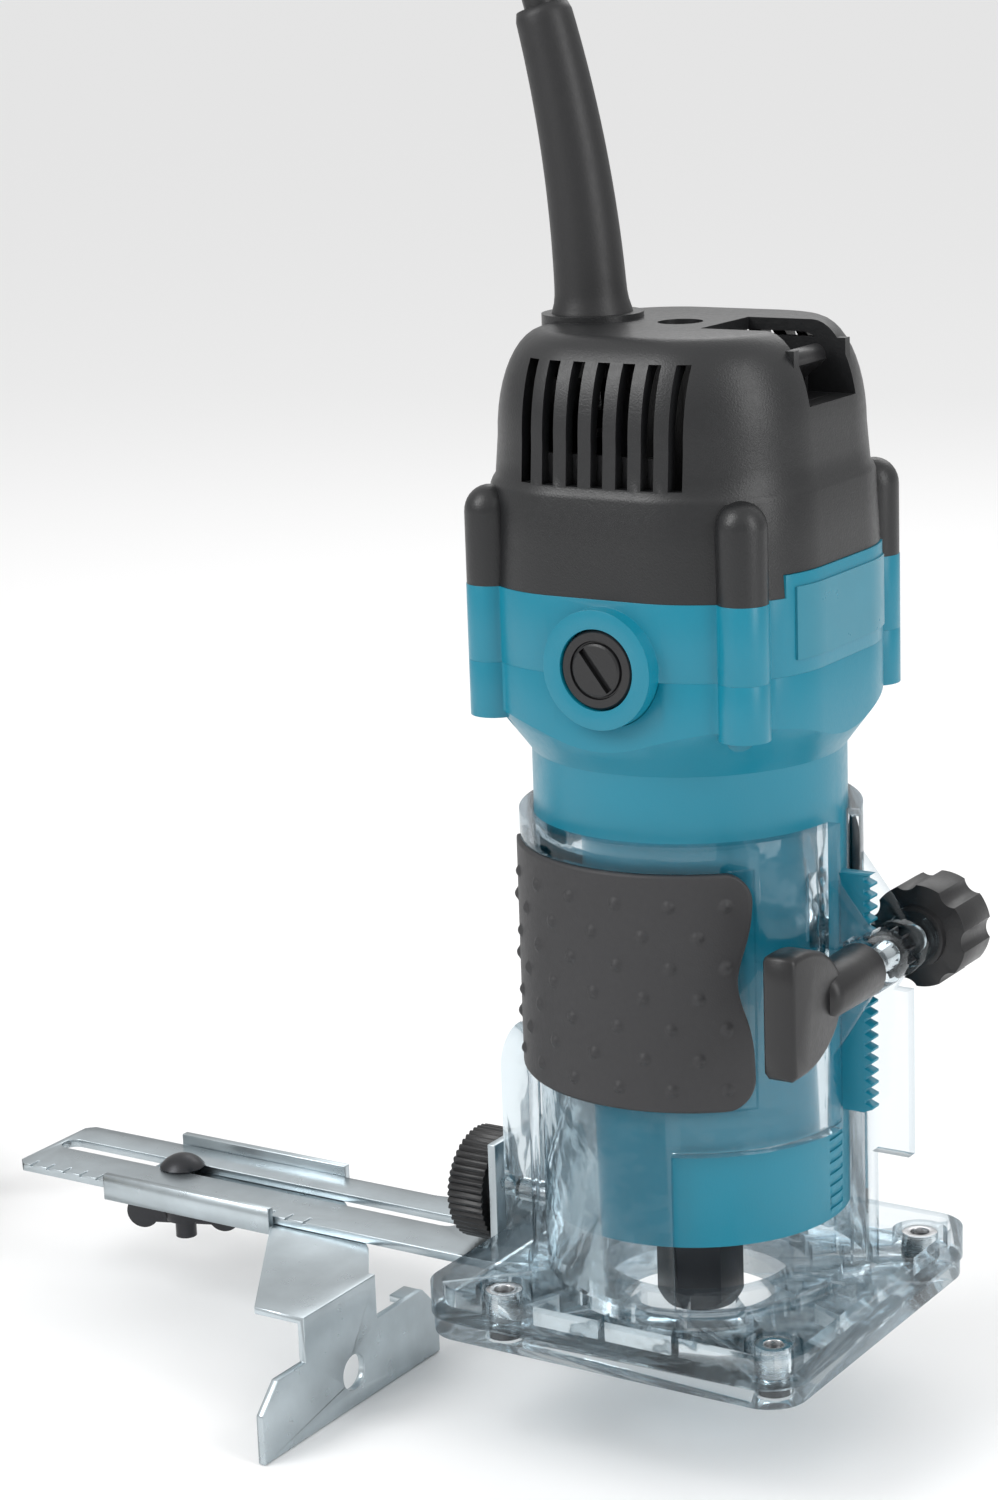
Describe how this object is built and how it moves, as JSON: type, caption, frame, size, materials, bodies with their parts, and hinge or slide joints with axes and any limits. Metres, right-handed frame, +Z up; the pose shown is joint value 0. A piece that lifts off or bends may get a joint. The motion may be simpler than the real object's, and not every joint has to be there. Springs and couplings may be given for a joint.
{
  "type": "trim router",
  "caption": "Small electric trim router in a clear height-adjustable base with a rack and pinion, side guide fence and mains cord.",
  "frame": {"origin": "on the spindle axis at the collet's mouth, level with the sole at rest", "axes": "+Z up along the spindle towards the cord, -Y towards the front brush cap, -X towards the side fence, +X towards the depth pinion"},
  "size_m": [0.3659, 0.1163, 0.3613],
  "materials": {
    "cap_plastic": "fine grain black",
    "teal_plastic": "satin teal",
    "clear_plastic": "clear polycarbonate",
    "grip_rubber": "matt grey",
    "black_plastic": "satin black",
    "cord_rubber": "matt black",
    "zinc_steel": "zinc plated",
    "steel": "bright",
    "black_steel": "blackened",
    "brass": "bright",
    "copper": "enamelled copper",
    "core_steel": "laminated",
    "carbon": "pressed carbon",
    "fan_plastic": "glass filled",
    "label": "plain plate"
  },
  "bodies": {
    "motor_unit": {"rear_cover": "cap_plastic", "upper_housing": "teal_plastic", "lower_housing": "teal_plastic", "housing_screws": "steel", "label_plate": "label", "brush_caps": "black_plastic", "brush_holders": "brass", "carbon_brushes": "carbon", "brush_springs": "steel", "field_core": "core_steel", "field_coils": "copper", "baffle_plate": "black_plastic", "upper_bearing": "steel", "lower_bearing": "steel", "bearing_retainer": "steel", "switch_body": "black_plastic", "cord_guard": "cord_rubber", "cord_clamp": "black_plastic", "clamp_screws": "steel", "power_cord": "cord_rubber", "cord_coil": "cord_rubber", "plug_body": "black_plastic", "plug_pins": "brass"},
    "rotor": {"spindle": "steel", "armature_core": "core_steel", "armature_windings": "copper", "commutator": "copper", "fan": "fan_plastic", "collet_cone": "black_steel", "collet_nut": "black_steel"},
    "switch": {"switch_rocker": "black_plastic"},
    "base": {"base_shell": "clear_plastic", "sub_base": "clear_plastic", "base_inserts": "steel", "base_screws": "black_steel", "front_grip": "grip_rubber", "rear_grip": "grip_rubber", "guide_bar": "zinc_steel"},
    "pinion": {"pinion_shaft": "black_steel", "adjusting_knob": "black_plastic"},
    "clamp_nut": {"clamp_wing": "black_plastic", "clamp_insert": "brass"},
    "guide_screw": {"guide_screw_knob": "black_plastic", "guide_screw_shank": "steel"},
    "side_fence": {"fence": "zinc_steel", "guide_bolt": "black_steel", "bolt_washer": "steel"},
    "fence_nut": {"wing_nut": "black_steel"}
  },
  "joints": [
    {"name": "spindle_spin", "type": "hinge", "parent": "motor_unit", "child": "rotor", "pos_m": [0, 0, 0.1], "axis": [0, 0, 1], "continuous": true},
    {"name": "switch_rock", "type": "hinge", "parent": "motor_unit", "child": "switch", "pos_m": [0.02, 0.001, 0.1993], "axis": [0, 1, 0], "range_deg": [0, 22]},
    {"name": "depth_slide", "type": "slide", "parent": "motor_unit", "child": "base", "axis": [0, 0, 1], "range_m": [-0.03, 0.01]},
    {"name": "pinion_turn", "type": "hinge", "parent": "base", "child": "pinion", "pos_m": [0.0432, 0.005, 0.0825], "axis": [0, 1, 0], "range_deg": [-135, 395]},
    {"name": "clamp_turn", "type": "hinge", "parent": "base", "child": "clamp_nut", "pos_m": [0.0432, -0.02, 0.0825], "axis": [0, 1, 0], "range_deg": [-20, 120]},
    {"name": "guide_screw_turn", "type": "hinge", "parent": "base", "child": "guide_screw", "pos_m": [-0.05, 0, 0.0175], "axis": [1, 0, 0], "range_deg": [0, 720]},
    {"name": "fence_slide", "type": "slide", "parent": "base", "child": "side_fence", "axis": [1, 0, 0], "range_m": [-0.03, 0.018]},
    {"name": "fence_nut_turn", "type": "hinge", "parent": "side_fence", "child": "fence_nut", "pos_m": [-0.1425, 0.0035, -0.004], "axis": [0, 0, 1], "range_deg": [0, 720]}
  ],
  "couplings": [
    {"joint": "pinion_turn", "follows": "depth_slide", "rad_per_m": -227.27}
  ]
}
